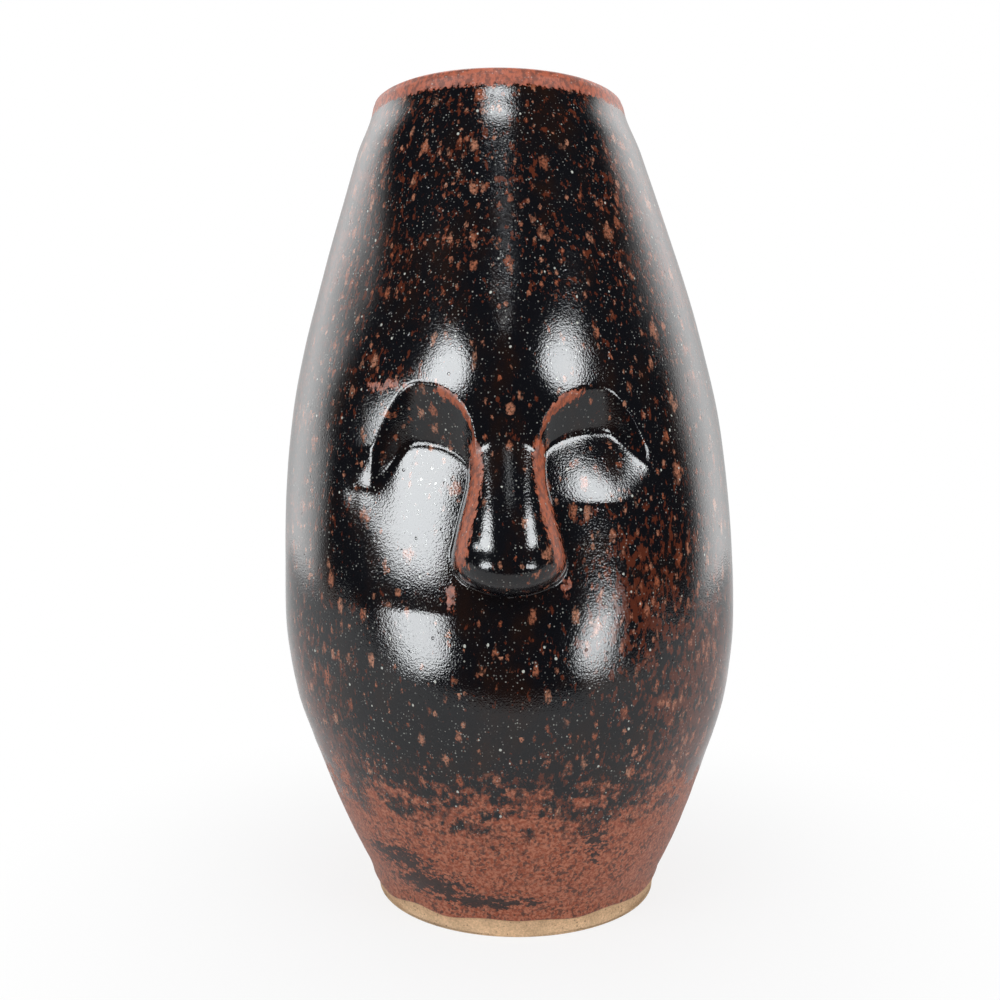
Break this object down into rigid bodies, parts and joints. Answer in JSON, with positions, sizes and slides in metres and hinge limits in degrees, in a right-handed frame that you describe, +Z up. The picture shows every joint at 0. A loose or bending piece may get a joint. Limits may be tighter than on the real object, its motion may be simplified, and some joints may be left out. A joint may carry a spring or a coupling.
{
  "type": "face vase",
  "caption": "Tall round-bellied glazed stoneware vase with an abstract face: a stuck-on nose between two thumb-pressed eye hollows.",
  "frame": {"origin": "centre of the foot, on the plane the vase stands on", "axes": "+Z up through the mouth, -Y the way the face looks, +X to the right when the face is looked at"},
  "size_m": [0.1471, 0.1597, 0.2548],
  "materials": {
    "buff_clay": "fired bare, matt",
    "nose_clay": "fired, under the glaze",
    "black_rust_glaze": "glossy, black breaking to rust",
    "liner_glaze": "glossy, dark"
  },
  "bodies": {
    "root": {"stoneware_body": "buff_clay", "applied_nose": "nose_clay", "outer_glaze": "black_rust_glaze", "liner_glaze": "liner_glaze"}
  },
  "joints": []
}
